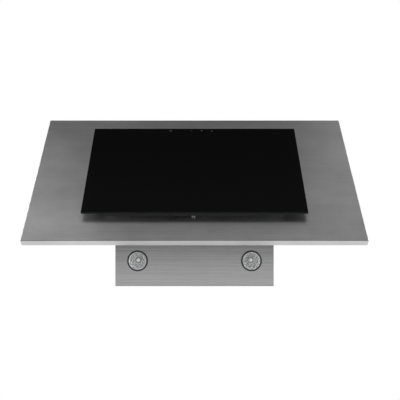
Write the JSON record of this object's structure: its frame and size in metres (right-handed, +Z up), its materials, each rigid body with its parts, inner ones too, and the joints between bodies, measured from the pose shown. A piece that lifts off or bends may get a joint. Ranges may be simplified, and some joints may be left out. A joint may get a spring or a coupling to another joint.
{
  "type": "inclined chimney range hood",
  "caption": "Inclined wall range hood: sloping steel plate, hinged black glass panel, lamps in the body's underside, blower with duct collar, telescopic chimney.",
  "frame": {"origin": "centre of the two upper wall holes, on the back face of the back panel", "axes": "+X to the right seen from the room, +Y into the wall, +Z up; the room is at -Y"},
  "size_m": [0.9, 0.4728, 0.7805],
  "materials": {
    "front_steel": "brushed, fine horizontal grain",
    "body_steel": "brushed",
    "zinc_sheet": "galvanised",
    "hinge_steel": "zinc-plated, satin",
    "black_glass": "black, polished",
    "black_steel": "black powder coat",
    "spring_steel": "bright spring steel",
    "screw_steel": "zinc-plated",
    "black_plastic": "moulded, fine texture",
    "filter_aluminium": "drawn aluminium",
    "motor_case": "cast, matt",
    "lamp_chrome": "black nickel",
    "lamp_mirror": "vapour-coated glass",
    "lamp_glass": "clear",
    "lamp_ceramic": "unglazed",
    "black_rubber": "matt",
    "copper_wire": "enamelled",
    "lamination": "stacked sheet",
    "bearing_steel": "ground",
    "board_green": "lacquered board",
    "terminal_white": "moulded",
    "capacitor_white": "smooth"
  },
  "bodies": {
    "hood_body": {"back_panel": "zinc_sheet", "blower_gasket": "black_rubber", "body_shell": "body_steel", "cable_gland": "black_plastic", "capacitor": "capacitor_white", "capacitor_band": "zinc_sheet", "casing_screws": "screw_steel", "chimney_lower": "body_steel", "clip_socket": "black_plastic", "control_board": "board_green", "control_box": "black_plastic", "control_lid": "black_plastic", "damper_pin": "spring_steel", "filter_frame": "filter_aluminium", "filter_net_back": "filter_aluminium", "filter_net_front": "filter_aluminium", "filter_pad": "filter_aluminium", "front_plate": "front_steel", "hinge_brackets": "hinge_steel", "hinge_pins": "spring_steel", "inlet_rings": "zinc_sheet", "lamp_capsules": "lamp_glass", "lamp_clamps": "spring_steel", "lamp_holders": "lamp_ceramic", "lamp_leads": "black_rubber", "lamp_lenses": "lamp_glass", "lamp_reflectors": "lamp_mirror", "lamp_rings": "lamp_chrome", "latch_spring": "spring_steel", "motor_bearings": "bearing_steel", "motor_bracket": "zinc_sheet", "motor_bushes": "black_rubber", "motor_caps": "motor_case", "motor_lead": "black_rubber", "motor_stator": "lamination", "motor_windings": "copper_wire", "outlet_collar": "zinc_sheet", "plate_stiffeners": "zinc_sheet", "scroll_left": "black_plastic", "scroll_right": "black_plastic", "suction_frame": "zinc_sheet", "terminal_block": "terminal_white", "top_panel": "zinc_sheet"},
    "panel": {"glass_cover": "black_glass", "panel_tray": "black_steel", "touch_case": "black_plastic", "touch_board": "board_green", "hinge_arms": "hinge_steel", "panel_clip": "spring_steel", "panel_bumpers": "black_rubber", "panel_screws": "screw_steel"},
    "wheel": {"impeller": "black_plastic", "motor_shaft": "spring_steel", "motor_rotor": "lamination"},
    "flap_left": {"damper_flap_left": "black_plastic"},
    "flap_right": {"damper_flap_right": "black_plastic"},
    "upper_chimney": {"chimney_upper": "body_steel", "chimney_bracket": "zinc_sheet", "bracket_screws": "screw_steel"},
    "latch": {"filter_latch": "black_plastic"}
  },
  "joints": [
    {"name": "panel_hinge", "type": "hinge", "parent": "hood_body", "child": "panel", "pos_m": [0, -0.42653, 0.01017], "axis": [-1, 0, 0], "range_deg": [0, 90]},
    {"name": "wheel_spin", "type": "hinge", "parent": "hood_body", "child": "wheel", "pos_m": [0, -0.189, -0.056], "axis": [1, 0, 0], "continuous": true},
    {"name": "flap_left_swing", "type": "hinge", "parent": "hood_body", "child": "flap_left", "pos_m": [0, -0.135, 0.0499], "axis": [0, 1, 0], "range_deg": [0, 75]},
    {"name": "flap_right_swing", "type": "hinge", "parent": "hood_body", "child": "flap_right", "pos_m": [0, -0.135, 0.0499], "axis": [0, -1, 0], "range_deg": [0, 75]},
    {"name": "chimney_slide", "type": "slide", "parent": "hood_body", "child": "upper_chimney", "axis": [0, 0, 1], "range_m": [0, 0.36]},
    {"name": "latch_slide", "type": "slide", "parent": "hood_body", "child": "latch", "axis": [0, -0.7071, 0.7071], "range_m": [0, 0.005], "stiffness_N_per_m": 200, "springref_m": -0.01, "deforming": ["latch_spring"]}
  ]
}
